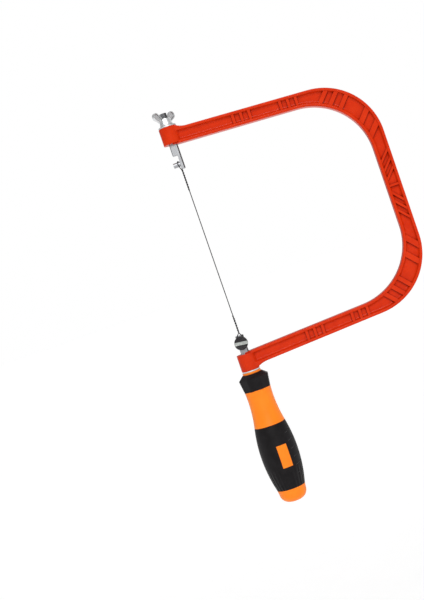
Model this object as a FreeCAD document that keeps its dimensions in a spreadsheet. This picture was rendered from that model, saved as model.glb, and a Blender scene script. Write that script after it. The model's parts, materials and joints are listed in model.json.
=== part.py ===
import FreeCAD, Part
import math
import os

import Sketcher
from FreeCAD import Placement, Rotation, Vector

# Bow saw with a twisted cutting wire.  +Z runs along the wire from the handle to the wing nut, +X from the
# wire to the back of the frame, and the frame is symmetric about the XZ plane.  The origin is on the handle's
# axis where the grip is widest.  Heights called "level" are measured from the frame's mid-plane.

DIMENSIONS = [
    ("frame_mid", 185.3, "height of the frame's mid-plane above the widest point of the grip"),
    ("frame_thick", 11.0, "frame thickness across the rims"),
    ("web_thick", 5.0, "thickness of the web between the rims"),
    ("rim_width", 2.6, "width of a rim"),
    ("rim_rounding", 0.9, "rounding of the rims' edges"),
    ("floor_rounding", 2.0, "rounding between the web and the rims"),
    ("rib_drop", 0.6, "how far the ribs stay below the rims"),
    ("boss_rounding", 0.5, "rounding of the bosses' outer ends"),
    ("root_rounding", 0.9, "rounding where the bosses rise from the web"),
    ("outer_level", 107.1, "level of an arm's outer edge, produced to the wire's axis"),
    ("inner_level", 93.75, "level of an arm's inner edge, produced to the wire's axis"),
    ("outer_slope", 3.84, "slope of an arm's outer edge, degrees"),
    ("inner_slope", 3.47, "slope of an arm's inner edge, degrees"),
    ("back_outer", 171.45, "reach of the back's outer edge"),
    ("back_inner", 158.65, "reach of the back's inner edge"),
    ("bend_radius", 53.0, "radius of both edges of a bend"),
    ("boss_radius", 8.0, "radius of the bosses that hold the hook bars"),
    ("boss_inner", 94.8, "level of a boss's inner end"),
    ("boss_outer", 109.6, "level of a boss's outer end"),
    ("gusset_level", 108.9, "level where the arm's flare meets the boss"),
    ("gusset_start", 7.2, "reach where the flare leaves the boss"),
    ("gusset_end", 16.0, "reach where the flare runs out on the arm"),
    ("socket_side", 7.2, "side of the square socket through each boss"),
    ("bar_side", 7.0, "side of the square hook bars"),
    ("bar_chamfer", 0.7, "chamfer along the bars' edges"),
    ("stud_radius", 3.0, "radius of the bars' threaded ends"),
    ("thread_bore", 3.05, "bore radius of the nuts on the bars"),
    ("square_end", 104.0, "level where a bar's square turns into its thread"),
    ("upper_stud_end", 122.0, "level of the upper bar's threaded end"),
    ("lower_stud_end", 138.0, "level of the lower bar's threaded end, below the mid-plane"),
    ("hook_end", 72.3, "level of the hook's lower end"),
    ("notch_top", 84.7, "level of the top of the hook's notch"),
    ("stem_width", 2.8, "width of the hook's stem beside the notch"),
    ("peg_level", 76.7, "level of the peg's axis"),
    ("peg_radius", 2.2, "radius of the peg"),
    ("peg_reach", 5.6, "how far the peg reaches in front of the wire's axis"),
    ("lower_bar_end", 78.5, "level of the lower bar's free end, below the mid-plane"),
    ("clamp_level", 84.9, "level of the clamp screw, below the mid-plane"),
    ("clamp_shank", 2.5, "radius of the clamp screw's shank"),
    ("clamp_bore", 2.55, "radius of its threaded hole"),
    ("clamp_length", 10.2, "length of the clamp screw's shank under its head"),
    ("clamp_head", 5.85, "radius of the clamp screw's head"),
    ("clamp_head_thick", 3.6, "thickness of the clamp screw's head"),
    ("clamp_dome", 0.5, "height of the head's domed edge"),
    ("slot_width", 2.8, "width of the screw's slot"),
    ("slot_depth", 1.7, "depth of the screw's slot"),
    ("slot_tilt", -6.0, "slope of the slot, degrees"),
    ("clamp_washer_radius", 4.6, "radius of the washer under the head"),
    ("clamp_washer_thick", 1.0, "thickness of that washer"),
    ("wire_radius", 0.4, "radius of the cutting wire"),
    ("twist_radius", 0.8, "radius of the wire's twisted ends"),
    ("wire_gap", 0.05, "clearance beside the wire"),
    ("loop_gap", 0.1, "clearance between a loop and what it goes round"),
    ("upper_straight", 1.6, "length of the upper loop's parallel sides"),
    ("lower_straight", 5.0, "length of the lower loop's parallel sides"),
    ("upper_apex", 70.6, "level where the upper loop closes"),
    ("lower_apex_reach", 0.8, "reach of the point where the lower loop closes"),
    ("lower_apex", 75.9, "level where the lower loop closes, below the mid-plane"),
    ("apex_overlap", 0.4, "how far a twist runs on into its loop"),
    ("upper_twist", 18.0, "length of the upper twist"),
    ("lower_twist", 15.6, "length of the lower twist"),
    ("washer_radius", 7.7, "radius of the washers on the bosses"),
    ("washer_hole", 3.3, "hole radius of those washers"),
    ("upper_washer_thick", 1.2, "thickness of the upper washer"),
    ("lower_washer_thick", 1.2, "thickness of the lower washer"),
    ("face_gap", 0.05, "clearance between faces that turn on each other"),
    ("nut_hub", 5.6, "radius of the wing nut's hub at its base"),
    ("nut_neck", 4.4, "radius of the wing nut's hub at its top"),
    ("nut_hub_height", 6.4, "height of the wing nut's hub"),
    ("nut_skirt", 1.3, "height of the hub's straight skirt"),
    ("wing_root", 2.65, "reach where a wing starts inside the hub"),
    ("wing_reach", 10.2, "reach of the centre of a wing's round end"),
    ("wing_height", 9.1, "height of the centre of a wing's round end"),
    ("wing_radius", 3.3, "radius of a wing's round end"),
    ("wing_thick", 2.4, "thickness of a wing's border"),
    ("wing_web", 1.3, "thickness of a wing inside its border"),
    ("wing_border", 1.0, "width of a wing's border"),
    ("wing_turn", 55.0, "turn of the wings from the frame's plane, degrees"),
    ("handle_top", 74.45, "height of the handle's upper end"),
    ("neck_radius", 8.1, "radius of the neck ring"),
    ("collar_top", 72.7, "height of the collar's upper end"),
    ("collar_rim", 69.0, "height of the collar's widest edge"),
    ("collar_seam", 58.2, "height of the collar's lower seam"),
    ("collar_top_radius", 9.4, "corner radius of the collar's octagon at its upper end"),
    ("collar_rim_radius", 13.9, "corner radius of the collar's octagon at its widest edge"),
    ("collar_seam_radius", 12.3, "corner radius of the collar's octagon at its seam"),
    ("collar_rounding", 3.0, "rounding of the octagon's corners"),
    ("collar_bore", 7.5, "radius of the core inside the collar"),
    ("waist_top_radius", 11.6, "radius of the core at the collar's seam"),
    ("waist_radius", 11.3, "radius of the waist"),
    ("waist_height", 50.0, "height of the waist"),
    ("sleeve_top", 26.5, "height of the sleeve's upper seam"),
    ("sleeve_top_radius", 13.7, "radius at the sleeve's upper seam"),
    ("grip_radius", 16.5, "radius of the grip at its widest"),
    ("sleeve_end", -30.6, "height of the sleeve's lower seam"),
    ("sleeve_end_radius", 12.5, "radius at the sleeve's lower seam"),
    ("sleeve_thick", 2.4, "thickness of the sleeve"),
    ("butt_end", -42.8, "height of the butt's flat end"),
    ("butt_round", 8.0, "radius of the butt's rounding"),
    ("butt_flat", 4.0, "radius of the butt's flat end"),
    ("shank_bore", 3.4, "radius of the hole for the lower bar's threaded end"),
    ("shank_bore_end", 40.0, "height of the bottom of that hole"),
    ("nut_flats", 10.0, "width across the captive nut's flats"),
    ("nut_thick", 5.0, "thickness of the captive nut"),
    ("nut_base", 62.0, "height of the captive nut's lower face"),
    ("window_width", 9.2, "width of the window in the sleeve"),
    ("window_height", 19.9, "height of the window in the sleeve"),
    ("window_centre", -1.4, "height of the window's centre"),
    ("window_turn", 16.0, "turn of the window from the front, degrees"),
    ("window_sink", 0.2, "how far the window's pad lies below the sleeve"),
    ("slit_width", 1.1, "width of a grip slit"),
    ("slit_depth", 0.7, "depth of a grip slit"),
    ("slit_span", 92.0, "how far a slit goes round the grip, degrees"),
    ("slit_pitch", 7.15, "spacing of the grip slits"),
    ("slit_centre", 0.9, "height of the middle of the row of slits"),
    ("slit_count", 6, "number of slits"),
    ("slit_slope", 9.0, "slope of the slits, degrees"),
]

# Straight ribs stand across the arms at these reaches, and the slanted ribs all lie at one angle, each at its
# own distance from the corner of the frame's plane.
STRAIGHT_RIBS = [55.6, 62.7, 69.8, 96.8, 103.6, 110.5]
STRAIGHT_RIB_WIDTH = 2.4
SLANT = 48.0
SLANTED_RIBS = [
    (38.8, 3.6), (47.2, 3.6), (56.2, 3.6), (76.7, 4.6), (88.6, 4.6), (105.6, 1.9), (110.8, 1.9), (115.9, 1.9),
]
CENTRE_RIB_WIDTH = 1.9

TINY = 1e-4
FRONT = Rotation(Vector(1, 0, 0), 90)
SIDEWAYS = Rotation(Vector(0, 1, 0), 90)

doc = FreeCAD.newDocument("bow_saw")


def make_sheet():
    sheet = doc.addObject("Spreadsheet::Sheet", "size")
    for row, (alias, value, meaning) in enumerate(DIMENSIONS, 1):
        sheet.set(f"A{row}", alias)
        sheet.set(f"B{row}", str(value))
        sheet.set(f"C{row}", meaning)
        sheet.setAlias(f"B{row}", alias)
    doc.recompute()
    return sheet


SHEET = make_sheet()


def dim(alias):
    return float(SHEET.get(alias))


def bind(thing, **expressions):
    for prop, expression in expressions.items():
        thing.setExpression(prop.replace("_", "."), expression)
    return thing


def place(thing, x=None, y=None, z=None, rotation=None):
    """Puts a finished sub-part in its place, with each coordinate bound to the sheet."""
    if rotation:
        thing.Placement = Placement(Vector(), rotation)
    for axis, expression in (("x", x), ("y", y), ("z", z)):
        if expression:
            thing.setExpression(f"Placement.Base.{axis}", expression)
    return thing


def named(thing, label):
    thing.Label = label
    return thing


# Part workbench helpers


def box(name, length, width, height, x=None, y=None, z=None):
    thing = doc.addObject("Part::Box", name)
    bind(thing, Length=length, Width=width, Height=height)
    return place(thing, x, y, z)


def cylinder(name, radius, height, x=None, y=None, z=None, rotation=None):
    thing = doc.addObject("Part::Cylinder", name)
    bind(thing, Radius=radius, Height=height)
    return place(thing, x, y, z, rotation)


def fuse(name, *things):
    joined = doc.addObject("Part::MultiFuse", name)
    joined.Shapes = list(things)
    return joined


def cut(name, base, tool):
    rest = doc.addObject("Part::Cut", name)
    rest.Base = base
    rest.Tool = tool
    return rest


def washer(name, radius, hole, thick):
    disc = cylinder(f"{name}_disc", radius, thick)
    bore = cylinder(f"{name}_bore", hole, thick)
    return named(cut(name, disc, bore), name)


# PartDesign helpers


def new_body(name):
    return named(doc.addObject("PartDesign::Body", name), name)


def new_sketch(body, name, plane, offset=None):
    sketch = body.newObject("Sketcher::SketchObject", name)
    origin = [o for o in body.Origin.OriginFeatures if o.Role == plane][0]
    sketch.AttachmentSupport = [(origin, "")]
    sketch.MapMode = "FlatFace"
    if offset:
        sketch.setExpression("AttachmentOffset.Base.z", offset)
    return sketch


def size_constraint(sketch, expression, kind, *where):
    index = sketch.addConstraint(Sketcher.Constraint(kind, *where))
    sketch.setExpression(f"Constraints[{index}]", expression)


def add_circle(sketch, expression, radius):
    circle = sketch.addGeometry(Part.Circle(Vector(), Vector(0, 0, 1), radius))
    sketch.addConstraint(Sketcher.Constraint("Coincident", circle, 3, -1, 1))
    size_constraint(sketch, expression, "Radius", circle, radius)
    return circle


def add_loop(sketch, curves):
    """Adds a closed chain of curves and ties each end to the next curve's start."""
    ids = sketch.addGeometry(curves)
    for one, two in zip(ids, ids[1:] + ids[:1]):
        ends = [(a, b) for a in (1, 2) for b in (1, 2)]
        a, b = min(ends, key=lambda e: (sketch.getPoint(one, e[0]) - sketch.getPoint(two, e[1])).Length)
        sketch.addConstraint(Sketcher.Constraint("Coincident", one, a, two, b))
    return ids


def polygon(points):
    corners = [Vector(x, y, 0) for x, y in points]
    return [Part.LineSegment(a, b) for a, b in zip(corners, corners[1:] + corners[:1])]


def pad(body, name, sketch, length, both_ways=False):
    feature = body.newObject("PartDesign::Pad", name)
    feature.Profile = sketch
    feature.setExpression("Length", length)
    if both_ways:
        feature.Midplane = True
    doc.recompute()
    return feature


def pocket_through(body, name, sketch):
    before = body.Shape.Volume
    feature = body.newObject("PartDesign::Pocket", name)
    feature.Profile = sketch
    feature.Type = "ThroughAll"
    feature.Midplane = True
    doc.recompute()
    assert body.Shape.Volume < before, name
    return feature


def revolve(body, name, sketch):
    feature = body.newObject("PartDesign::Revolution", name)
    feature.Profile = sketch
    feature.ReferenceAxis = (sketch, ["V_Axis"])
    feature.Angle = 360
    doc.recompute()
    return feature


def fillet(body, name, base, chosen, radius):
    edges = [f"Edge{i}" for i, edge in enumerate(base.Shape.Edges, 1) if chosen(edge)]
    feature = body.newObject("PartDesign::Fillet", name)
    feature.Base = (base, edges)
    feature.setExpression("Radius", radius)
    doc.recompute()
    return feature


def arc(start, middle, end):
    return Part.Arc(*(Vector(x, y, 0) for x, y in (start, middle, end)))


def line(start, end):
    return Part.LineSegment(Vector(*start, 0), Vector(*end, 0))


# Frame


def edge_points(level, slope, reach, radius, inset):
    """One edge of the frame's upper half: a point function on the arm, and the bend's centre and radius."""
    angle = math.radians(slope)
    centre_x = reach - radius
    centre_z = level - centre_x * math.tan(angle) - radius / math.cos(angle)

    def on_arm(x):
        return level - x * math.tan(angle) + inset / math.cos(angle)

    bend = radius + inset
    tangent = (centre_x + bend * math.sin(angle), centre_z + bend * math.cos(angle))
    middle_angle = math.pi / 4 - angle / 2
    middle = (centre_x + bend * math.cos(middle_angle), centre_z + bend * math.sin(middle_angle))
    return on_arm, tangent, middle, (reach + inset, centre_z)


def flip(point):
    return (point[0], -point[1])


def frame_outline(start, inset, flared=False):
    """The closed C outline of the frame, moved inwards by inset, from its open end at reach start."""
    outer = edge_points(dim("outer_level"), dim("outer_slope"), dim("back_outer"), dim("bend_radius"), -inset)
    inner = edge_points(dim("inner_level"), dim("inner_slope"), dim("back_inner"), dim("bend_radius"), inset)
    top = (start, outer[0](start))
    curves = []
    if flared:
        top = (start, dim("gusset_level"))
        leave = (dim("gusset_start"), dim("gusset_level"))
        end = (dim("gusset_end"), outer[0](dim("gusset_end")))
        curves += [line(top, leave), flare(leave, end), line(end, outer[1])]
    else:
        curves += [line(top, outer[1])]
    curves += [arc(outer[1], outer[2], outer[3]), line(outer[3], flip(outer[3]))]
    curves += [arc(flip(outer[3]), flip(outer[2]), flip(outer[1]))]
    if flared:
        curves += [line(flip(outer[1]), flip(end)), flare(flip(leave), flip(end))]
        curves += [line(flip(leave), flip(top))]
    else:
        curves += [line(flip(outer[1]), flip(top))]
    low = (start, -inner[0](start))
    curves += [line(flip(top), low), line(low, flip(inner[1]))]
    curves += [arc(flip(inner[1]), flip(inner[2]), flip(inner[3]))]
    curves += [line(flip(inner[3]), inner[3]), arc(inner[3], inner[2], inner[1])]
    curves += [line(inner[1], flip(low)), line(flip(low), top)]
    return curves


def flare(leave, end):
    """The hollow arc from a boss down to the arm, tangent to the arm's outer edge."""
    side = math.copysign(1, leave[1])
    slope = math.radians(dim("outer_slope"))
    back = end[0] - leave[0]
    rise = abs(leave[1]) - abs(end[1]) - back * math.tan(slope)
    middle_back = back / 2
    middle_rise = rise / 4
    middle = (end[0] - middle_back, end[1] + side * (middle_back * math.tan(slope) + middle_rise))
    return arc(leave, middle, end)


def slanted_rib(distance, width):
    """Corner points of one slanted rib, cut to reach the middle of both rims."""
    along = Vector(math.cos(math.radians(SLANT)), math.sin(math.radians(SLANT)), 0)
    across = Vector(along.y, -along.x, 0)
    ring = Part.Wire([curve.toShape() for curve in frame_outline(0, dim("rim_width") / 2)])
    reach = dim("back_outer") * 2
    foot = across * distance
    chord = Part.makeLine(foot, foot + along * reach).common(Part.Face(ring))
    ends = [vertex.Point for vertex in chord.Vertexes]
    half = across * (width / 2)
    corners = [ends[0] - half, ends[-1] - half, ends[-1] + half, ends[0] + half]
    return [(corner.x, corner.y) for corner in corners]


def straight_rib(reach):
    """Corner points of one rib straight across the upper arm."""
    outer = edge_points(dim("outer_level"), dim("outer_slope"), dim("back_outer"), dim("bend_radius"), 0)[0]
    inner = edge_points(dim("inner_level"), dim("inner_slope"), dim("back_inner"), dim("bend_radius"), 0)[0]
    half = STRAIGHT_RIB_WIDTH / 2
    middle = dim("rim_width") / 2
    low = inner(reach) + middle
    high = outer(reach) - middle
    return [(reach - half, low), (reach + half, low), (reach + half, high), (reach - half, high)]


def frame_ribs():
    ribs = [straight_rib(reach) for reach in STRAIGHT_RIBS]
    ribs += [slanted_rib(*rib) for rib in SLANTED_RIBS]
    ribs += [[flip(point) for point in reversed(rib)] for rib in ribs]
    half = CENTRE_RIB_WIDTH / 2
    low = dim("back_inner") + dim("rim_width") / 2
    high = dim("back_outer") - dim("rim_width") / 2
    ribs.append([(low, -half), (high, -half), (high, half), (low, half)])
    return ribs


def lies_at(half_thickness, edge):
    """Whether an edge lies in one of the two planes this far in front of or behind the frame's middle."""
    return all(abs(abs(vertex.Point.y) - half_thickness) < TINY for vertex in edge.Vertexes)


def is_boss_end(edge):
    return all(abs(abs(vertex.Point.z) - dim("boss_outer")) < TINY for vertex in edge.Vertexes)


def is_boss_root(edge):
    """Whether an edge is where a boss rises from the web."""
    on_boss = all(abs(math.hypot(v.Point.x, v.Point.y) - dim("boss_radius")) < TINY for v in edge.Vertexes)
    return on_boss and lies_at(dim("web_thick") / 2, edge)


def make_frame():
    body = new_body("bow_frame")
    web = new_sketch(body, "web_outline", "XZ_Plane")
    add_loop(web, frame_outline(0, 0, flared=True))
    pad(body, "web", web, "size.web_thick", both_ways=True)
    rims = new_sketch(body, "rim_outline", "XZ_Plane")
    add_loop(rims, frame_outline(0, 0, flared=True))
    add_loop(rims, frame_outline(dim("rim_width"), dim("rim_width")))
    rim_pad = pad(body, "rims", rims, "size.frame_thick", both_ways=True)
    floor = fillet(body, "floor_rounding", rim_pad, lambda edge: lies_at(dim("web_thick") / 2, edge),
                   "size.floor_rounding")
    fillet(body, "rim_rounding", floor, lambda edge: lies_at(dim("frame_thick") / 2, edge),
           "size.rim_rounding")
    ribs = new_sketch(body, "rib_outlines", "XZ_Plane")
    for rib in frame_ribs():
        add_loop(ribs, polygon(rib))
    pad(body, "ribs", ribs, "size.frame_thick - 2 * size.rib_drop", both_ways=True)
    boss = new_sketch(body, "boss_circle", "XY_Plane", "size.boss_inner")
    add_circle(boss, "size.boss_radius", dim("boss_radius"))
    boss_pad = pad(body, "boss", boss, "size.boss_outer - size.boss_inner")
    mirrored = body.newObject("PartDesign::Mirrored", "boss_pair")
    mirrored.Originals = [boss_pad]
    mirrored.MirrorPlane = ([o for o in body.Origin.OriginFeatures if o.Role == "XY_Plane"][0], [""])
    body.Tip = mirrored
    doc.recompute()
    fillet(body, "boss_rounding", mirrored, is_boss_end, "size.boss_rounding")
    fillet(body, "boss_root", body.Tip, is_boss_root, "size.root_rounding")
    socket = new_sketch(body, "socket_square", "XY_Plane")
    half = dim("socket_side") / 2
    add_loop(socket, polygon([(-half, -half), (half, -half), (half, half), (-half, half)]))
    pocket_through(body, "sockets", socket)
    return place(body, z="size.frame_mid")


# Upper hook, its nut and washer


def square_bar(name, low, high):
    """A length of square bar on the wire's axis, chamfered along its four edges."""
    half = "-size.bar_side / 2"
    blank = box(f"{name}_blank", "size.bar_side", "size.bar_side", f"{high} - ({low})", half, half, low)
    doc.recompute()
    upright = [i for i, edge in enumerate(blank.Shape.Edges, 1) if abs(edge.tangentAt(0).z) > 0.9]
    bar = doc.addObject("Part::Chamfer", name)
    bar.Base = blank
    bar.Edges = [(i, dim("bar_chamfer"), dim("bar_chamfer")) for i in upright]
    return bar


def make_upper_hook():
    half = "size.bar_side / 2"
    bar = square_bar("upper_bar_square", "size.hook_end", "size.square_end")
    notch = box("hook_notch", "size.bar_side", "size.bar_side", "size.notch_top - size.hook_end",
                f"{half} - size.stem_width - size.bar_side", f"-{half}", "size.hook_end")
    stud = cylinder("upper_bar_stud", "size.stud_radius", "size.upper_stud_end - size.notch_top",
                    z="size.notch_top")
    peg_hole = cylinder("upper_peg_hole", "size.peg_radius", "size.bar_side", x=f"-{half}",
                        z="size.peg_level", rotation=SIDEWAYS)
    hooked = cut("upper_bar_hooked", bar, notch)
    whole = fuse("upper_bar_blank", hooked, stud)
    place(named(cut("upper_hook_bar", whole, peg_hole), "upper_hook_bar"), z="size.frame_mid")
    peg = cylinder("upper_hook_peg", "size.peg_radius", f"size.peg_reach + {half}", x="-size.peg_reach",
                   z="size.frame_mid + size.peg_level", rotation=SIDEWAYS)
    named(peg, "upper_hook_peg")


def tangent_from(point, centre, radius, side):
    """Where a line from point touches a circle, on the left (1) or right (-1) of the way to its centre."""
    gap = math.dist(point, centre)
    heading = math.atan2(centre[1] - point[1], centre[0] - point[0])
    turn = heading + side * (math.pi / 2 + math.asin(radius / gap))
    return (centre[0] + radius * math.cos(turn), centre[1] + radius * math.sin(turn))


def wing_outline(inset):
    """A wing seen square on: two straight edges out of the hub, round the wing's end."""
    centre = (dim("wing_reach"), dim("wing_height"))
    radius = dim("wing_radius") - inset
    root = dim("wing_root") + inset
    low = (root, dim("nut_skirt") + inset * math.sqrt(2))
    high = (root, dim("nut_hub_height") - inset)
    lower = tangent_from(low, centre, radius, -1)
    upper = tangent_from(high, centre, radius, 1)
    heading = math.atan2(centre[1] - low[1], centre[0] - low[0])
    tip = (centre[0] + radius * math.cos(heading), centre[1] + radius * math.sin(heading))
    return [line(low, lower), arc(lower, tip, upper), line(upper, high), line(high, low)]


def make_wing_nut():
    body = new_body("wing_nut")
    web = new_sketch(body, "wing_web_outline", "XZ_Plane")
    add_loop(web, wing_outline(0))
    web_pad = pad(body, "wing_web", web, "size.wing_web", both_ways=True)
    border = new_sketch(body, "wing_border_outline", "XZ_Plane")
    add_loop(border, wing_outline(0))
    add_loop(border, wing_outline(dim("wing_border")))
    border_pad = pad(body, "wing_border", border, "size.wing_thick", both_ways=True)
    mirrored = body.newObject("PartDesign::Mirrored", "wing_pair")
    mirrored.Originals = [web_pad, border_pad]
    mirrored.MirrorPlane = ([o for o in body.Origin.OriginFeatures if o.Role == "YZ_Plane"][0], [""])
    body.Tip = mirrored
    hub = new_sketch(body, "hub_profile", "XZ_Plane")
    base, neck = dim("nut_hub"), dim("nut_neck")
    skirt, height = dim("nut_skirt"), dim("nut_hub_height")
    add_loop(hub, polygon([(0, 0), (base, 0), (base, skirt), (neck, height), (0, height)]))
    revolve(body, "hub", hub)
    bore = new_sketch(body, "nut_bore_circle", "XY_Plane")
    add_circle(bore, "size.thread_bore", dim("thread_bore"))
    pocket_through(body, "nut_bore", bore)
    body.Placement = Placement(Vector(), Rotation(Vector(0, 0, 1), dim("wing_turn")))
    return place(body, z="size.frame_mid + size.boss_outer + size.upper_washer_thick + size.face_gap")


def make_washers():
    upper = washer("upper_washer", "size.washer_radius", "size.washer_hole", "size.upper_washer_thick")
    place(upper, z="size.frame_mid + size.boss_outer")
    lower = washer("lower_washer", "size.washer_radius", "size.washer_hole", "size.lower_washer_thick")
    place(lower, z="size.frame_mid - size.boss_outer - size.lower_washer_thick")
    clamp = washer("clamp_washer", "size.clamp_washer_radius", "size.clamp_bore", "size.clamp_washer_thick")
    clamp.Placement = Placement(Vector(), FRONT)
    place(clamp, y="-size.bar_side / 2 - 2 * (size.wire_radius + size.wire_gap)",
          z="size.frame_mid - size.clamp_level")


# Lower hook and its clamp screw


def make_lower_hook():
    half = "size.bar_side / 2"
    bar = square_bar("lower_bar_square", "-size.square_end", "-size.lower_bar_end")
    stud = cylinder("lower_bar_stud", "size.stud_radius", "size.lower_stud_end - size.lower_bar_end",
                    z="-size.lower_stud_end")
    hole = cylinder("lower_bar_hole", "size.clamp_bore", "size.bar_side", y=half, z="-size.clamp_level",
                    rotation=FRONT)
    whole = fuse("lower_bar_blank", bar, stud)
    place(named(cut("lower_hook_bar", whole, hole), "lower_hook_bar"), z="size.frame_mid")


def make_clamp_screw():
    body = new_body("clamp_screw")
    profile = new_sketch(body, "screw_profile", "XZ_Plane")
    head, shank, thick = dim("clamp_head"), dim("clamp_shank"), dim("clamp_head_thick")
    length, dome = dim("clamp_length"), dim("clamp_dome")
    points = [(0, -length), (shank - dome, -length), (shank, dome - length), (shank, 0), (head, 0),
              (head, thick - dome), (head - dome, thick), (0, thick)]
    add_loop(profile, [line(a, b) for a, b in zip(points, points[1:] + points[:1])])
    revolve(body, "screw", profile)
    slot = new_sketch(body, "slot_outline", "XY_Plane", "size.clamp_head_thick - size.slot_depth")
    half, reach = dim("slot_width") / 2, dim("clamp_head") + 1
    add_loop(slot, polygon([(-reach, -half), (reach, -half), (reach, half), (-reach, half)]))
    before = body.Shape.Volume
    cut_slot = body.newObject("PartDesign::Pocket", "slot")
    cut_slot.Profile = slot
    cut_slot.Reversed = True
    cut_slot.setExpression("Length", "size.slot_depth + 1")
    doc.recompute()
    assert body.Shape.Volume < before
    tilt = Rotation(Vector(0, 1, 0), -dim("slot_tilt"))
    body.Placement = Placement(Vector(), tilt.multiply(FRONT))
    under_head = "-size.bar_side / 2 - 2 * (size.wire_radius + size.wire_gap) - size.clamp_washer_thick"
    return place(body, y=f"{under_head} - size.face_gap", z="size.frame_mid - size.clamp_level")


# Wire


def half_loop_path(apex, centre, radius, straight, side):
    """One side of a loop in its own plane: from the apex, beside a circle, and round to its far point."""
    towards = Vector(centre[0] - apex[0], centre[1] - apex[1], 0).normalize()
    across = Vector(towards.y, -towards.x, 0) * (side * radius)
    middle = Vector(*centre, 0)
    shoulder = middle - towards * straight + across
    start = Vector(*apex, 0)
    diagonal = middle + (towards * radius + across) * math.sqrt(0.5)
    return [Part.LineSegment(start, shoulder), Part.LineSegment(shoulder, middle + across),
            Part.Arc(middle + across, diagonal, middle + towards * radius)]


def wire_loop(name, placement, *loop):
    """Both halves of a loop of wire, each swept along a path that is drawn in a sketch."""
    return [half_loop(f"{name}_{side}", half_loop_path(*loop, sign), placement)
            for side, sign in (("left", -1), ("right", 1))]


def half_loop(name, path, placement):
    sketch = doc.addObject("Sketcher::SketchObject", f"{name}_path")
    sketch.addGeometry(path)
    sketch.Placement = placement
    section = doc.addObject("Part::Circle", f"{name}_section")
    bind(section, Radius="size.wire_radius")
    first = path[0]
    heading = placement.Rotation.multVec(first.EndPoint - first.StartPoint)
    section.Placement = Placement(placement.multVec(first.StartPoint), Rotation(Vector(0, 0, 1), heading))
    doc.recompute()
    sweep = doc.addObject("Part::Sweep", name)
    sweep.Sections = [section]
    sweep.Spine = (sketch, [f"Edge{i}" for i in range(1, len(path) + 1)])
    sweep.Solid = True
    sweep.Transition = "Right corner"
    return sweep


def straight_stretch(name, radius, start, heading, length):
    stretch = doc.addObject("Part::Cylinder", name)
    bind(stretch, Radius=radius)
    stretch.Height = length
    stretch.Placement = Placement(start, Rotation(Vector(0, 0, 1), heading))
    return stretch


def make_wire():
    wire, gap = dim("wire_radius"), dim("wire_gap")
    beside_stem = dim("bar_side") / 2 - dim("stem_width") - wire - gap
    upper_radius = dim("peg_radius") + dim("loop_gap") + wire
    lower_radius = dim("clamp_shank") + dim("loop_gap") + wire
    plane_y = -dim("bar_side") / 2 - wire - gap
    facing_side = Rotation(Vector(0, 1, 0), Vector(0, 0, 1), Vector(1, 0, 0))
    upper = wire_loop("upper_loop", Placement(Vector(beside_stem, 0, 0), facing_side),
                      (0, dim("upper_apex")), (0, dim("peg_level")), upper_radius, dim("upper_straight"))
    lower = wire_loop("lower_loop", Placement(Vector(0, plane_y, 0), FRONT),
                      (dim("lower_apex_reach"), -dim("lower_apex")), (0, -dim("clamp_level")), lower_radius,
                      dim("lower_straight"))
    top = Vector(beside_stem, 0, dim("upper_apex"))
    bottom = Vector(dim("lower_apex_reach"), plane_y, -dim("lower_apex"))
    run = top - bottom
    overlap = Vector(run).normalize() * dim("apex_overlap")
    top += overlap
    bottom -= overlap
    main = straight_stretch("wire_run", "size.wire_radius", bottom, run, (top - bottom).Length)
    lower_twist = straight_stretch("lower_twist_sleeve", "size.twist_radius", bottom, run, dim("lower_twist"))
    upper_twist = straight_stretch("upper_twist_sleeve", "size.twist_radius", top, run * -1,
                                   dim("upper_twist"))
    whole = fuse("saw_wire", main, lower_twist, upper_twist, *upper, *lower)
    return place(named(whole, "saw_wire"), z="size.frame_mid")


# Handle


def grip_arc(inset):
    """The barrel outline of the grip between the sleeve's two seams, moved inwards."""
    return arc((dim("sleeve_top_radius") - inset, dim("sleeve_top")), (dim("grip_radius") - inset, 0),
               (dim("sleeve_end_radius") - inset, dim("sleeve_end")))


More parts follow.
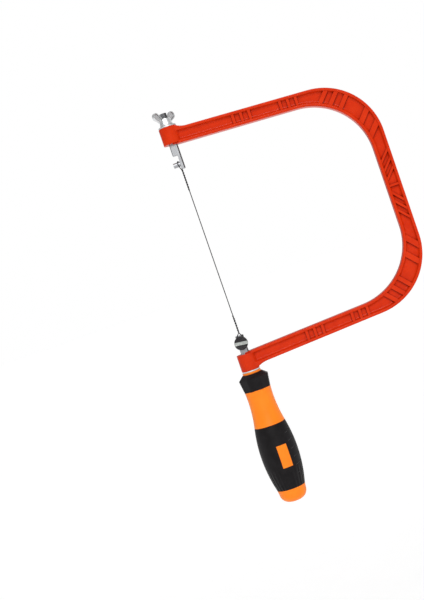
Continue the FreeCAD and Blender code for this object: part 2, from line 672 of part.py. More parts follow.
def make_core_body():
    body = new_body("core_body")
    profile = new_sketch(body, "core_profile", "XZ_Plane")
    thick = dim("sleeve_thick")
    top, collar_top, seam = dim("handle_top"), dim("collar_top"), dim("collar_seam")
    neck, collar_bore, waist_top = dim("neck_radius"), dim("collar_bore"), dim("waist_top_radius")
    sleeve_top, sleeve_end = dim("sleeve_top"), dim("sleeve_end")
    flat, butt = dim("butt_flat"), dim("butt_end")
    round_height = butt + dim("butt_round")
    round_radius = flat + dim("butt_round")
    lean = math.sqrt(0.5) * dim("butt_round")
    inner = grip_arc(thick)
    add_loop(profile, [
        line((0, top), (neck, top)), line((neck, top), (neck, collar_top)),
        line((neck, collar_top), (collar_bore, collar_top)),
        line((collar_bore, collar_top), (collar_bore, seam)),
        line((collar_bore, seam), (waist_top, seam)),
        arc((waist_top, seam), (dim("waist_radius"), dim("waist_height")),
            (dim("sleeve_top_radius"), sleeve_top)),
        line((dim("sleeve_top_radius"), sleeve_top), (dim("sleeve_top_radius") - thick, sleeve_top)),
        inner,
        line((dim("sleeve_end_radius") - thick, sleeve_end), (dim("sleeve_end_radius"), sleeve_end)),
        line((dim("sleeve_end_radius"), sleeve_end), (round_radius, round_height)),
        arc((round_radius, round_height), (flat + lean, round_height - lean), (flat, butt)),
        line((flat, butt), (0, butt)), line((0, butt), (0, top)),
    ])
    revolve(body, "core_turning", profile)
    bore = new_sketch(body, "shank_circle", "XY_Plane", "size.shank_bore_end")
    add_circle(bore, "size.shank_bore", dim("shank_bore"))
    seat = new_sketch(body, "nut_hexagon", "XY_Plane", "size.nut_base")
    corner = dim("nut_flats") / math.sqrt(3)
    corners = [math.radians(60 * i) for i in range(6)]
    add_loop(seat, polygon([(corner * math.cos(a), corner * math.sin(a)) for a in corners]))
    before = body.Shape.Volume
    for name, sketch, depth in (("shank_hole", bore, "size.handle_top - size.shank_bore_end + 1"),
                                ("nut_seat", seat, "size.nut_thick")):
        hole = body.newObject("PartDesign::Pocket", name)
        hole.Profile = sketch
        hole.Reversed = True
        hole.setExpression("Length", depth)
        doc.recompute()
        assert body.Shape.Volume < before
        before = body.Shape.Volume
    return body


def window_block(name):
    """A block that passes through the window, square to the grip and turned to the window's side."""
    block = box(name, "size.window_width", "size.grip_radius + 2", "size.window_height")
    turn = Rotation(Vector(0, 0, 1), dim("window_turn"))
    corner = Vector(-dim("window_width") / 2, -dim("grip_radius") - 2,
                    dim("window_centre") - dim("window_height") / 2)
    block.Placement = Placement(turn.multVec(corner), turn)
    return block


def make_core():
    limit = new_body("pad_limit")
    profile = new_sketch(limit, "pad_limit_profile", "XZ_Plane")
    sink = dim("window_sink")
    top = (dim("sleeve_top_radius") - sink, dim("sleeve_top"))
    end = (dim("sleeve_end_radius") - sink, dim("sleeve_end"))
    hollow = dim("shank_bore")
    add_loop(profile, [grip_arc(sink), line(end, (hollow, end[1])), line((hollow, end[1]), (hollow, top[1])),
                       line((hollow, top[1]), top)])
    revolve(limit, "pad_limit_turning", profile)
    block = doc.addObject("Part::Common", "window_pad")
    block.Base = limit
    block.Tool = window_block("pad_block")
    core = fuse("handle_core", make_core_body(), block)
    return named(core, "handle_core")


def grip_reach(height):
    """The sleeve's outer radius at a height, on the circle of the grip's outline."""
    circle = grip_arc(0).toShape().Curve
    rise = height - circle.Center.y
    return circle.Center.x + math.sqrt(circle.Radius ** 2 - rise ** 2)


def slit_cutter(height):
    """Part of a flat ring round the back of the grip, tilted so that the slit climbs from front to rear."""
    outer = cylinder("slit_outer", "size.grip_radius + size.slit_depth", "size.slit_width")
    bind(outer, Angle="size.slit_span")
    outer.Placement = Placement(Vector(), Rotation(Vector(0, 0, 1), -dim("slit_span") / 2))
    inner = cylinder("slit_inner", f"{grip_reach(height)} - size.slit_depth", "size.slit_width")
    ring = cut("slit_ring", outer, inner)
    tilt = Rotation(Vector(1, 0, 0), dim("slit_slope"))
    ring.Placement = Placement(Vector(0, 0, height - dim("slit_width") / 2), tilt)
    return ring


def make_sleeve():
    body = new_body("sleeve_body")
    profile = new_sketch(body, "sleeve_profile", "XZ_Plane")
    thick = dim("sleeve_thick")
    top, end = dim("sleeve_top"), dim("sleeve_end")
    outer_top, outer_end = dim("sleeve_top_radius"), dim("sleeve_end_radius")
    add_loop(profile, [grip_arc(0), line((outer_end, end), (outer_end - thick, end)), grip_arc(thick),
                       line((outer_top - thick, top), (outer_top, top))])
    revolve(body, "sleeve_turning", profile)
    middle = (dim("slit_count") - 1) / 2
    offsets = [(step - middle) * dim("slit_pitch") for step in range(int(dim("slit_count")))]
    slits = [slit_cutter(dim("slit_centre") + offset) for offset in offsets]
    cutter = fuse("sleeve_cutter", window_block("window_cutter"), *slits)
    return named(cut("grip_sleeve", body, cutter), "grip_sleeve")


def octagon(sketch, radius):
    """An octagon with rounded corners, radius being that of its corners before rounding."""
    half_turn = math.pi / 8
    rounding = dim("collar_rounding")
    reach = radius - rounding / math.cos(half_turn)
    corners = []
    for step in range(8):
        angle = half_turn * (2 * step + 1)
        centre = Vector(math.cos(angle), math.sin(angle), 0) * reach
        turned = [angle + turn for turn in (-half_turn, 0, half_turn)]
        corners.append([centre + Vector(math.cos(a), math.sin(a), 0) * rounding for a in turned])
    curves = []
    for corner, following in zip(corners, corners[1:] + corners[:1]):
        curves += [Part.Arc(*corner), Part.LineSegment(corner[2], following[0])]
    add_loop(sketch, curves)


def make_collar():
    body = new_body("grip_collar")
    levels = [("collar_seam", "collar_seam_radius"), ("collar_rim", "collar_rim_radius"),
              ("collar_top", "collar_top_radius")]
    sketches = []
    for height, radius in levels:
        sketch = new_sketch(body, f"octagon_{height}", "XY_Plane", f"size.{height}")
        octagon(sketch, dim(radius))
        sketches.append(sketch)
    loft = body.newObject("PartDesign::AdditiveLoft", "collar_loft")
    loft.Profile = sketches[0]
    loft.Sections = sketches[1:]
    loft.Ruled = True
    doc.recompute()
    bore = new_sketch(body, "collar_bore_circle", "XY_Plane")
    add_circle(bore, "size.collar_bore", dim("collar_bore"))
    pocket_through(body, "collar_bore", bore)
    return body


def make_handle_nut():
    blank = doc.addObject("Part::Prism", "nut_blank")
    blank.Polygon = 6
    bind(blank, Circumradius="size.nut_flats / sqrt(3)", Height="size.nut_thick")
    bore = cylinder("nut_thread", "size.thread_bore", "size.nut_thick")
    return place(named(cut("handle_nut", blank, bore), "handle_nut"), z="size.nut_base")


NODES = [
    "bow_frame", "upper_hook_bar", "upper_hook_peg", "upper_washer", "wing_nut", "saw_wire", "lower_hook_bar",
    "clamp_screw", "clamp_washer", "lower_washer", "handle_core", "grip_collar", "grip_sleeve", "handle_nut",
]


def check_and_write():
    doc.recompute()
    for thing in doc.Objects:
        if "Invalid" in thing.State or "Error" in thing.State:
            raise RuntimeError(f"{thing.Name}: {thing.State}")
    parts = {thing.Label: thing for thing in doc.Objects if thing.Label in NODES}
    for node in NODES:
        shape = parts[node].Shape
        if shape.isNull() or not shape.isValid() or shape.Volume <= 0:
            raise RuntimeError(f"{node} is not a valid solid")
        print(node, len(shape.Solids), round(shape.Volume, 1))
    os.makedirs("parts", exist_ok=True)
    for node in NODES:
        parts[node].Shape.exportStep(f"parts/{node}.step")


make_frame()
make_upper_hook()
make_wing_nut()
make_washers()
make_lower_hook()
make_clamp_screw()
make_wire()
make_core()
make_sleeve()
make_collar()
make_handle_nut()
check_and_write()
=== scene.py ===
import json
import math

import bpy
from mathutils import Matrix, Vector


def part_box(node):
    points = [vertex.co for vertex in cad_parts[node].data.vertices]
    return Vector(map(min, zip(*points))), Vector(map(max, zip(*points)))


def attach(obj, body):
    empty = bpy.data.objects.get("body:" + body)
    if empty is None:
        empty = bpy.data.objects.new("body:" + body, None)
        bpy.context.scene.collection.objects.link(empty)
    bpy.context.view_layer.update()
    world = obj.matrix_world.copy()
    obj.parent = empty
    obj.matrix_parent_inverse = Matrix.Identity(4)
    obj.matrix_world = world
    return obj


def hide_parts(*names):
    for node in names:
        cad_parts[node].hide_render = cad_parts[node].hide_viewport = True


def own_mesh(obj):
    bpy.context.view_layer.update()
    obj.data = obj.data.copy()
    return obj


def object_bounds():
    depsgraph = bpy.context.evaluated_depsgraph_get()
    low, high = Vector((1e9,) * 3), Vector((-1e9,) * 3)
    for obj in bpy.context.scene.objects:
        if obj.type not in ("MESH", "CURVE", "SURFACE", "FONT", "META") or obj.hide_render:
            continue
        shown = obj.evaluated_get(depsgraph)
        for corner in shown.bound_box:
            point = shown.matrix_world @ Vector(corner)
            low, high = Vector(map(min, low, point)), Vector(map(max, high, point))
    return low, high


# The looks of a bow saw with a twisted cutting wire, in metres, in the frame of the CAD model: +Z up the wire,
# +X to the back of the frame, and the camera in front, on the -Y side.

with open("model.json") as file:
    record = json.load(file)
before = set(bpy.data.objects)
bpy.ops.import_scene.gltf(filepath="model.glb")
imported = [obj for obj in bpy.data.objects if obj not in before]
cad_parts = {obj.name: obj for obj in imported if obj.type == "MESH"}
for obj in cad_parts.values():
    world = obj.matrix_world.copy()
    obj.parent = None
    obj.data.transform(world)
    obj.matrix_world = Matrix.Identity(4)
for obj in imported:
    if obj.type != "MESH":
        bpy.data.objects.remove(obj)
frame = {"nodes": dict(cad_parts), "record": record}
cad_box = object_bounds()
nodes = frame["nodes"]

MM = 0.001


# Places that the frame gives


def middle(node):
    low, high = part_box(node)
    return (Vector(low) + Vector(high)) / 2


def size(node):
    low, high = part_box(node)
    return Vector(high) - Vector(low)


frame_middle = middle("bow_frame")
peg = middle("upper_hook_peg")
peg_radius = size("upper_hook_peg").z / 2
clamp = middle("clamp_screw")
bar_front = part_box("lower_hook_bar")[0][1]
washer_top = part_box("upper_washer")[1][2]


# Materials: a small set of helpers, then one function for each finish

NOISE_ROUGHNESS = 0.55
CREVICE_SAMPLES = 8
EDGE_SAMPLES = 8
RELIEF_SAMPLES = 6
MIX_FACTOR, MIX_A, MIX_B, MIX_COLOUR = 0, 6, 7, 2

THREAD_PITCH = 1.0 * MM
FLUTES = 26
FLUTES_LOW = -33 * MM
FLUTES_HIGH = -14 * MM
FLUTES_FADE = 3 * MM
SLOT_START = 0.4 * MM
SLOT_END = 2.2 * MM
SLOT_REACH = 5.75 * MM
SLOT_SLOPE = math.radians(-14)


class Finish:
    """One procedural material, built node by node around a Principled shader."""

    def __init__(self, name, **sockets):
        self.material = bpy.data.materials.new(name)
        self.material.use_nodes = True
        self.tree = self.material.node_tree
        self.shader = self.tree.nodes["Principled BSDF"]
        for socket, value in sockets.items():
            self.shader.inputs[socket.replace("_", " ")].default_value = value
        self.place = self.add("ShaderNodeTexCoord").outputs["Object"]

    def add(self, kind, inputs=None, **settings):
        node = self.tree.nodes.new(kind)
        for key, value in settings.items():
            setattr(node, key, value)
        for key, value in (inputs or {}).items():
            if isinstance(value, bpy.types.NodeSocket):
                self.tree.links.new(value, node.inputs[key])
            else:
                node.inputs[key].default_value = value
        return node

    def stretched(self, scale, turn=(0, 0, 0)):
        """Object coordinates scaled along each axis, for streaks and grain."""
        mapping = self.add("ShaderNodeMapping", {"Vector": self.place, "Scale": scale, "Rotation": turn})
        return mapping.outputs["Vector"]

    def noise(self, grain, detail=4.0, vector=None):
        """Noise with features about grain metres across."""
        inputs = {"Vector": vector or self.place, "Scale": 1 / grain, "Detail": detail,
                  "Roughness": NOISE_ROUGHNESS}
        return self.add("ShaderNodeTexNoise", inputs).outputs["Fac"]

    def ramp(self, value, *stops):
        """Turns a value into a colour or a grey through (position, colour) stops."""
        node = self.add("ShaderNodeValToRGB", {"Fac": value})
        elements = node.color_ramp.elements
        while len(elements) < len(stops):
            elements.new(0.5)
        for element, (position, colour) in zip(elements, stops):
            element.position = position
            element.color = colour if isinstance(colour, tuple) else (colour, colour, colour, 1)
        return node.outputs["Color"]

    def math(self, operation, one, two=0.0):
        return self.add("ShaderNodeMath", {0: one, 1: two}, operation=operation).outputs["Value"]

    def vector_math(self, operation, one, two):
        return self.add("ShaderNodeVectorMath", {0: one, 1: two}, operation=operation)

    def between(self, value, low, high, soft):
        """1 where value lies from low to high, with soft edges."""
        rise, fall = [
            self.add("ShaderNodeMapRange", {"Value": value, "From Min": start, "From Max": end}).outputs["Result"]
            for start, end in ((low - soft, low + soft), (high + soft, high - soft))]
        return self.math("MULTIPLY", rise, fall)

    def mix(self, share, one, two, blend="MIX"):
        inputs = {MIX_FACTOR: share, MIX_A: one, MIX_B: two}
        return self.add("ShaderNodeMix", inputs, data_type="RGBA", blend_type=blend).outputs[MIX_COLOUR]

    def crevices(self, reach):
        """1 on open surfaces, falling towards 0 in corners narrower than reach metres."""
        occlusion = self.add("ShaderNodeAmbientOcclusion", {"Distance": reach}, samples=CREVICE_SAMPLES)
        return occlusion.outputs["AO"]

    def edges(self, width):
        """0 on flat surfaces, rising towards edges that are nearer than about width metres."""
        soft = self.add("ShaderNodeBevel", {"Radius": width}, samples=EDGE_SAMPLES).outputs["Normal"]
        sharp = self.add("ShaderNodeNewGeometry").outputs["Normal"]
        return self.math("SUBTRACT", 1.0, self.vector_math("DOT_PRODUCT", soft, sharp).outputs["Value"])

    def axis(self, name):
        return self.add("ShaderNodeSeparateXYZ", {"Vector": self.place}).outputs[name]

    def facing(self, name):
        """One component of the surface's direction in object space."""
        normal = self.add("ShaderNodeTexCoord").outputs["Normal"]
        return self.add("ShaderNodeSeparateXYZ", {"Vector": normal}).outputs[name]

    def colour(self, value):
        self.tree.links.new(value, self.shader.inputs["Base Color"])

    def roughness(self, value, low, high):
        shades = self.add("ShaderNodeMapRange", {"Value": value, "To Min": low, "To Max": high})
        self.tree.links.new(shades.outputs["Result"], self.shader.inputs["Roughness"])

    def relief(self, depth, *layers, edge=0.0):
        """Bump from (height, strength) layers of the given depth, over edges softened by edge metres."""
        normal = None
        if edge:
            normal = self.add("ShaderNodeBevel", {"Radius": edge}, samples=RELIEF_SAMPLES).outputs["Normal"]
        for height, strength in layers:
            inputs = {"Height": height, "Strength": strength, "Distance": depth}
            if normal:
                inputs["Normal"] = normal
            normal = self.add("ShaderNodeBump", inputs).outputs["Normal"]
        self.tree.links.new(normal, self.shader.inputs["Normal"])

    def relief_over(self, depth, height):
        """One more bump, on top of the relief that is already there."""
        before = self.shader.inputs["Normal"].links[0].from_socket
        inputs = {"Height": height, "Strength": 1.0, "Distance": depth, "Normal": before}
        bump = self.add("ShaderNodeBump", inputs)
        self.tree.links.new(bump.outputs["Normal"], self.shader.inputs["Normal"])


def rgb(red, green, blue):
    return (red, green, blue, 1)


def frame_paint():
    """Glossy red powder coat: orange peel and a little mottling, with painted shade darkening its corners and a
    painted dark line of shade along its edges.
    """
    finish = Finish("frame_paint", Coat_Weight=0.08, Coat_Roughness=0.1, Specular_IOR_Level=0.05)
    mottle = finish.noise(9 * MM)
    base = finish.ramp(mottle, (0.3, rgb(0.58, 0.026, 0.003)), (0.7, rgb(0.66, 0.036, 0.005)))
    # painted shade: corners and recesses darkened from ambient occlusion
    corner = finish.ramp(finish.crevices(1.6 * MM), (0.4, rgb(0.52, 0.40, 0.40)), (0.9, rgb(1, 1, 1)))
    with_corner_shade = finish.mix(1.0, base, corner, "MULTIPLY")
    # painted shade: a thin dark line along the edges, standing for side faces in shade
    painted_edge_shade = finish.ramp(finish.edges(0.5 * MM), (0.05, 0.0), (0.3, 0.38))
    finish.colour(finish.mix(painted_edge_shade, with_corner_shade, rgb(0.30, 0.018, 0.008)))
    peel = finish.noise(0.9 * MM, detail=2)
    finish.roughness(mottle, 0.22, 0.32)
    finish.relief(0.05 * MM, (peel, 0.3), edge=0.35 * MM)
    return finish.material


def bar_steel():
    """Zinc-plated square bar, drawn along its length, with painted shade darkening the side towards the back of
    the frame.
    """
    finish = Finish("bar_steel", Metallic=1.0)
    grain = finish.noise(0.5 * MM, vector=finish.stretched((1, 1, 0.08)))
    cloud = finish.noise(3 * MM)
    face = finish.ramp(grain, (0.25, rgb(0.30, 0.31, 0.32)), (0.75, rgb(0.47, 0.48, 0.49)))
    clouded = finish.mix(finish.math("MULTIPLY", cloud, 0.35), face, rgb(0.52, 0.52, 0.56))
    # painted shade: faces towards +X darkened to near black, standing for the shaded side of the bar
    side = finish.ramp(finish.facing("X"), (0.35, 0.0), (0.6, 1.0))
    finish.colour(finish.mix(side, clouded, rgb(0.10, 0.10, 0.103)))
    finish.roughness(grain, 0.32, 0.5)
    turns = finish.math("MULTIPLY", finish.axis("Z"), 2 * math.pi / THREAD_PITCH)
    around = finish.math("ARCTAN2", finish.axis("Y"), finish.axis("X"))
    thread = finish.math("SINE", finish.math("SUBTRACT", turns, around))
    on_stud = finish.math("GREATER_THAN", finish.axis("Z"), washer_top)
    finish.relief(0.02 * MM, (grain, 0.5), edge=0.2 * MM)
    finish.relief_over(0.3 * MM, finish.math("MULTIPLY", thread, on_stud))
    return finish.material


def bright_zinc():
    """Bright zinc plating with a faint spangle, painted shade darkening its corners, and darker grey edges."""
    finish = Finish("bright_zinc", Metallic=1.0)
    spangle = finish.add("ShaderNodeTexVoronoi", {"Vector": finish.place, "Scale": 1 / (1.1 * MM)})
    tone = finish.ramp(spangle.outputs["Color"], (0.0, rgb(0.74, 0.75, 0.76)), (1.0, rgb(0.86, 0.87, 0.88)))
    # painted shade: corners darkened from ambient occlusion
    corner = finish.ramp(finish.crevices(2 * MM), (0.35, rgb(0.10, 0.11, 0.11)), (0.85, rgb(1, 1, 1)))
    with_corner_shade = finish.mix(1.0, tone, corner, "MULTIPLY")
    # edges mixed towards a darker grey
    darker_edges = finish.ramp(finish.edges(0.5 * MM), (0.03, 0.0), (0.22, 0.8))
    finish.colour(finish.mix(darker_edges, with_corner_shade, rgb(0.20, 0.21, 0.21)))
    finish.roughness(finish.noise(0.6 * MM), 0.38, 0.54)
    finish.relief(0.02 * MM, (finish.noise(0.4 * MM), 0.25), edge=0.2 * MM)
    return finish.material


def wire_steel():
    """Oiled steel wire with fine drawn streaks, and painted shade darkening the grooves of the twist."""
    finish = Finish("wire_steel", Metallic=1.0)
    streak = finish.noise(0.35 * MM, vector=finish.stretched((1, 1, 0.15)))
    tone = finish.ramp(streak, (0.3, rgb(0.025, 0.025, 0.025)), (0.75, rgb(0.12, 0.12, 0.125)))
    # painted shade: grooves of the twist darkened from ambient occlusion
    painted_groove_shade = finish.ramp(finish.crevices(0.8 * MM), (0.35, rgb(0.15, 0.15, 0.15)), (0.8, rgb(1, 1, 1)))
    finish.colour(finish.mix(1.0, tone, painted_groove_shade, "MULTIPLY"))
    finish.roughness(streak, 0.3, 0.5)
    finish.relief(0.03 * MM, (finish.noise(0.2 * MM), 0.5))
    return finish.material


def screw_black():
    """Black-oxide screw head with turning streaks, and the bare metal of its cut slot."""
    finish = Finish("screw_black", Metallic=1.0)
    streak = finish.noise(0.5 * MM, vector=finish.stretched((0.16, 1, 1), turn=(0, SLOT_SLOPE, 0)))
    dark = finish.ramp(streak, (0.35, rgb(0.012, 0.012, 0.012)), (0.72, rgb(0.085, 0.08, 0.085)))
    head_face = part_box("clamp_screw")[0][1]
    inside = finish.between(finish.axis("Y"), head_face + SLOT_START, head_face + SLOT_END, 0.1 * MM)
    from_centre = finish.vector_math("ADD", finish.place, tuple(-clamp)).outputs["Vector"]
    flat = finish.vector_math("MULTIPLY", from_centre, (1, 0, 1)).outputs["Vector"]
    reach = finish.add("ShaderNodeVectorMath", {0: flat}, operation="LENGTH").outputs["Value"]
    in_slot = finish.math("MULTIPLY", inside, finish.math("LESS_THAN", reach, SLOT_REACH))
    bare = finish.ramp(streak, (0.3, rgb(0.28, 0.29, 0.28)), (0.7, rgb(0.66, 0.69, 0.66)))
    finish.colour(finish.mix(in_slot, dark, bare))
    finish.roughness(streak, 0.35, 0.55)
    finish.relief(0.04 * MM, (streak, 0.6), edge=0.15 * MM)
    return finish.material


def handle_orange():
    """Satin orange plastic with a fine moulded grain, and painted shade darkening its corners and seams."""
    finish = Finish("handle_orange", Subsurface_Weight=0.05, Subsurface_Scale=2 * MM, Specular_IOR_Level=0.22)
    cloud = finish.noise(14 * MM)
    # painted shade: corners and seams darkened from ambient occlusion
    painted_seam_shade = finish.ramp(finish.crevices(1.5 * MM), (0.4, rgb(0.55, 0.30, 0.25)), (0.85, rgb(1, 1, 1)))
    base = finish.ramp(cloud, (0.3, rgb(1.0, 0.215, 0.006)), (0.7, rgb(1.0, 0.250, 0.010)))
    finish.colour(finish.mix(1.0, base, painted_seam_shade, "MULTIPLY"))
    grain = finish.noise(0.45 * MM, detail=2)
    finish.roughness(cloud, 0.36, 0.46)
    finish.relief(0.03 * MM, (grain, 0.3), edge=0.3 * MM)
    return finish.material


def grip_black():
    """Soft black elastomer: fine pebbling, rubbed lighter here and there, with a painted highlight lightening its
    grooves and slits.
    """
    finish = Finish("grip_black", Sheen_Weight=0.03, Sheen_Roughness=0.5, Specular_IOR_Level=0.12)
    rub = finish.noise(7 * MM)
    skin = finish.ramp(rub, (0.35, rgb(0.006, 0.005, 0.0055)), (0.75, rgb(0.012, 0.0105, 0.0115)))
    # painted highlight: grooves and slits painted lighter grey
    painted_groove_highlight = finish.ramp(finish.crevices(1.6 * MM), (0.35, 0.9), (0.8, 0.0))
    finish.colour(finish.mix(painted_groove_highlight, skin, rgb(0.085, 0.08, 0.085)))
    pebble = finish.add("ShaderNodeTexVoronoi", {"Vector": finish.place, "Scale": 1 / (0.55 * MM)})
    finish.roughness(rub, 0.48, 0.64)
    finish.relief(0.05 * MM, (pebble.outputs["Distance"], 0.4), edge=0.3 * MM)
    around = finish.math("ARCTAN2", finish.axis("Y"), finish.axis("X"))
    flutes = finish.math("SINE", finish.math("MULTIPLY", around, FLUTES))
    low_end = finish.between(finish.axis("Z"), FLUTES_LOW, FLUTES_HIGH, FLUTES_FADE)
    finish.relief_over(0.25 * MM, finish.math("MULTIPLY", flutes, low_end))
    return finish.material


def floor_white():
    """Matt pale paper with hardly any grain."""
    finish = Finish("floor_white", Roughness=0.9, Specular_IOR_Level=0.1, Emission_Color=rgb(1, 1, 1),
                    Emission_Strength=0.22)
    finish.colour(finish.ramp(finish.noise(40 * MM), (0.2, 0.93), (0.8, 0.95)))
    return finish.material


FINISHES = {
    "frame_paint": frame_paint(),
    "bar_steel": bar_steel(),
    "bright_zinc": bright_zinc(),
    "wire_steel": wire_steel(),
    "screw_black": screw_black(),
    "handle_orange": handle_orange(),
    "grip_black": grip_black(),
}


def dress(piece, slot):
    piece.data.materials.clear()
    piece.data.materials.append(FINISHES[slot])


for subpart in frame["record"]["subparts"]:
    dress(nodes[subpart["node"]], subpart["material_slot"])


# The wire: one length, folded back and twisted on itself at both ends.  It goes round both the peg and the
# clamp screw, while the CAD node that it replaces stops at the lower twist.

WIRE_RADIUS = 0.4 * MM
STRAND_OFFSET = 0.41 * MM
TWIST_PITCH = 4.2 * MM
UPPER_TWIST = 18.0 * MM
LOWER_TWIST = 15.6 * MM
UNWIND = 2.0 * MM
SIDES = 12
STEPS_PER_TURN = 16
LEG_STEPS = 8
BEND_STEPS = 14
RUN_STEPS = 24


def add_mesh(name, verts, faces, body, slot):
    mesh = bpy.data.meshes.new(name)
    mesh.from_pydata([tuple(v) for v in verts], [], faces)
    mesh.validate()
    mesh.polygons.foreach_set("use_smooth", [True] * len(mesh.polygons))
    piece = bpy.data.objects.new(name, mesh)
    bpy.context.scene.collection.objects.link(piece)
    dress(piece, slot)
    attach(piece, body)
    return piece


def tube(points, radius, sides):
    """Vertices and faces of a round tube along points, with a flat cap at each end."""
    verts, faces = [], []
    heading = (points[1] - points[0]).normalized()
    across = heading.orthogonal().normalized()
    for i, point in enumerate(points):
        ahead = points[min(i + 1, len(points) - 1)] - points[max(i - 1, 0)]
        turned = ahead.normalized()
        across = (heading.rotation_difference(turned) @ across).normalized()
        across = (across - turned * across.dot(turned)).normalized()
        heading = turned
        up = heading.cross(across)
        for side in range(sides):
            angle = 2 * math.pi * side / sides
            verts.append(point + (across * math.cos(angle) + up * math.sin(angle)) * radius)
    for ring in range(len(points) - 1):
        for side in range(sides):
            following = (side + 1) % sides
            low, high = ring * sides, (ring + 1) * sides
            faces.append((low + side, low + following, high + following, high + side))
    faces.append(tuple(reversed(range(sides))))
    faces.append(tuple(range((len(points) - 1) * sides, len(points) * sides)))
    return verts, faces


def twisted(start, end, phase, unwind_at_end=True):
    """Points of one strand of the twist from start to end, easing on to the axis at the end if asked."""
    length = (end - start).length
    heading = (end - start).normalized()
    across = heading.cross(Vector((0, 1, 0))).normalized()
    beside = heading.cross(across)
    count = round(length / TWIST_PITCH * STEPS_PER_TURN)
    points = []
    for step in range(count + 1):
        along = length * step / count
        ease = min(1.0, (length - along) / UNWIND) if unwind_at_end else 1.0
        angle = phase + 2 * math.pi * along / TWIST_PITCH
        offset = (across * math.cos(angle) + beside * math.sin(angle)) * (STRAND_OFFSET * ease)
        points.append(start + heading * along + offset)
    return points


def loop_points(apex, centre, across, radius, straight):
    """The open eye of the wire: out from the apex, round a pin and back, in the plane of across."""
    towards = (centre - apex).normalized()
    towards = (towards - across * towards.dot(across)).normalized()
    legs = []
    for side in (1, -1):
        shoulder = centre - towards * straight + across * (side * radius)
        legs.append([apex.lerp(shoulder, step / LEG_STEPS) for step in range(1, LEG_STEPS + 1)])
    bend = []
    for step in range(BEND_STEPS + 1):
        angle = math.pi * step / BEND_STEPS
        bend.append(centre + across * (math.cos(angle) * radius) + towards * (math.sin(angle) * radius))
    return legs[0] + bend + list(reversed(legs[1]))


def relax(points, rounds, hold):
    """Evens out the corners of a chain of points, leaving hold points at each end alone."""
    for _ in range(rounds):
        kept = list(points)
        for i in range(hold, len(points) - hold):
            points[i] = kept[i] * 0.5 + (kept[i - 1] + kept[i + 1]) * 0.25
    return points


LOOP_GAP = 0.1 * MM
BAR_GAP = 0.05 * MM
UPPER_STRAIGHT = 1.6 * MM
LOWER_STRAIGHT = 5.0 * MM
CLAMP_SHANK = 2.5 * MM
UPPER_LOOP_X = -0.65 * MM
LOOP_SLANT = math.radians(20)
UPPER_LOOP_DROP = 6.1 * MM
LOWER_LOOP_RISE = 9.0 * MM
WIRE_X = 0.25 * MM
LOWER_APEX_X = 0.8 * MM


def make_wire():
    peg_centre = Vector((UPPER_LOOP_X, 0, peg.z))
    top = Vector((WIRE_X, 0, peg.z - UPPER_LOOP_DROP))
    wire_y = bar_front - WIRE_RADIUS - BAR_GAP
    pin_centre = Vector((clamp.x, wire_y, clamp.z))
    bottom = pin_centre + Vector((LOWER_APEX_X, 0, LOWER_LOOP_RISE))
    down = (bottom - top).normalized()
    upper_end = top + down * UPPER_TWIST
    lower_end = bottom - down * LOWER_TWIST
    round_peg = (peg_radius + LOOP_GAP + WIRE_RADIUS) / math.cos(LOOP_SLANT)
    round_pin = CLAMP_SHANK + LOOP_GAP + WIRE_RADIUS
    slanted = Vector((-math.sin(LOOP_SLANT), -math.cos(LOOP_SLANT), 0))
    upper_loop = loop_points(top, peg_centre, slanted, round_peg, UPPER_STRAIGHT)
    lower_loop = loop_points(bottom, pin_centre, Vector((1, 0, 0)), round_pin, LOWER_STRAIGHT)
    tail_up = list(reversed(twisted(top, upper_end, math.pi, unwind_at_end=False)))
    main_up = twisted(top, upper_end, 0)
    main_low = list(reversed(twisted(bottom, lower_end, 0)))
    tail_low = twisted(bottom, lower_end, math.pi, unwind_at_end=False)
    run = [upper_end.lerp(lower_end, step / RUN_STEPS) for step in range(1, RUN_STEPS)]
    chain = tail_up + relax(upper_loop, 2, 1) + main_up + run + main_low + relax(lower_loop, 2, 1) + tail_low
    verts, faces = tube(relax(chain, 2, 1), WIRE_RADIUS, SIDES)
    piece = add_mesh("twisted_wire", verts, faces, "lower_hook", "wire_steel")
    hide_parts("saw_wire")
    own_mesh(piece)


make_wire()


# Studio: pale floor, soft lights and the camera


def soft_light(name, towards, strength, spread):
    """An even light from far away, spread over an angle so wide that its shadows are soft."""
    light = bpy.data.lights.new(name, "SUN")
    light.energy = strength
    light.angle = math.radians(spread)
    lamp = bpy.data.objects.new(name, light)
    bpy.context.scene.collection.objects.link(lamp)
    lamp.rotation_euler = Vector(towards).to_track_quat("-Z", "Y").to_euler()


FLOOR_HALF = 30.0
FLOOR_DROP = 0.25
AMBIENT = 0.42


def make_floor():
    level = cad_box[0][2] - FLOOR_DROP
    mesh = bpy.data.meshes.new("floor")
    corners = [(x * FLOOR_HALF, y * FLOOR_HALF, level) for x, y in ((-1, -1), (1, -1), (1, 1), (-1, 1))]
    mesh.from_pydata(corners, [], [(0, 1, 2, 3)])
    floor = bpy.data.objects.new("floor", mesh)
    bpy.context.scene.collection.objects.link(floor)
    floor.data.materials.append(floor_white())


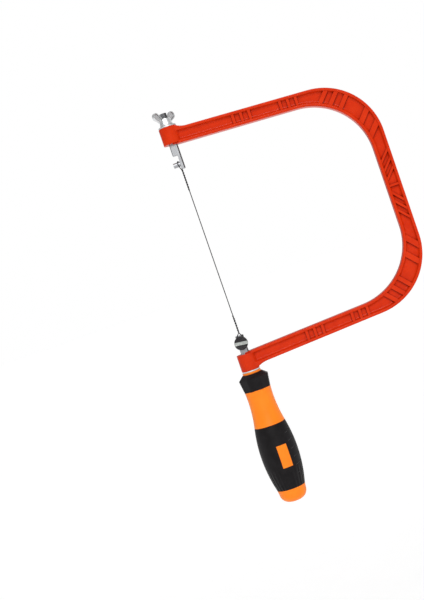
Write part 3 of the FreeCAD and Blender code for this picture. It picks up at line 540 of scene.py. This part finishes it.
def make_world():
    world = bpy.data.worlds.new("studio")
    world.use_nodes = True
    tree = world.node_tree
    ambient = tree.nodes["Background"]
    ambient.inputs["Color"].default_value = rgb(1, 1, 1)
    ambient.inputs["Strength"].default_value = AMBIENT
    paper = tree.nodes.new("ShaderNodeBackground")
    paper.inputs["Color"].default_value = rgb(1, 1, 1)
    paper.inputs["Strength"].default_value = 1.0
    seen = tree.nodes.new("ShaderNodeLightPath")
    choice = tree.nodes.new("ShaderNodeMixShader")
    tree.links.new(seen.outputs["Is Camera Ray"], choice.inputs["Fac"])
    tree.links.new(ambient.outputs["Background"], choice.inputs[1])
    tree.links.new(paper.outputs["Background"], choice.inputs[2])
    tree.links.new(choice.outputs["Shader"], tree.nodes["World Output"].inputs["Surface"])
    bpy.context.scene.world = world


# The view: azimuth and elevation of the camera, its roll, and what it looks at from the frame's middle plane
AZIMUTH = math.radians(5.0)
ELEVATION = math.radians(1.2)
ROLL = math.radians(-19.06)
DISTANCE = 0.895
AIM = Vector((-0.0121, 0, -0.0421))
LENS = 62.52
SENSOR = 36.0


def make_camera():
    back = Vector((math.sin(AZIMUTH) * math.cos(ELEVATION), -math.cos(AZIMUTH) * math.cos(ELEVATION),
                   math.sin(ELEVATION)))
    level = Vector((math.cos(AZIMUTH), math.sin(AZIMUTH), 0))
    upright = back.cross(level)
    right = level * math.cos(ROLL) + upright * math.sin(ROLL)
    up = upright * math.cos(ROLL) - level * math.sin(ROLL)
    data = bpy.data.cameras.new("camera")
    data.lens = LENS
    data.sensor_width = SENSOR
    data.sensor_fit = "AUTO"
    camera = bpy.data.objects.new("camera", data)
    bpy.context.scene.collection.objects.link(camera)
    aim = Vector((0, 0, frame_middle.z)) + AIM
    turn = Matrix((right, up, back)).transposed().to_4x4()
    camera.matrix_world = Matrix.Translation(aim + back * DISTANCE) @ turn
    bpy.context.scene.camera = camera


make_floor()
make_world()
soft_light("key", (-0.1, 0.9, -0.6), 1.75, 40)
soft_light("back", (-0.3, -0.7, -0.6), 0.6, 60)
make_camera()
bpy.context.scene.view_settings.view_transform = "Standard"
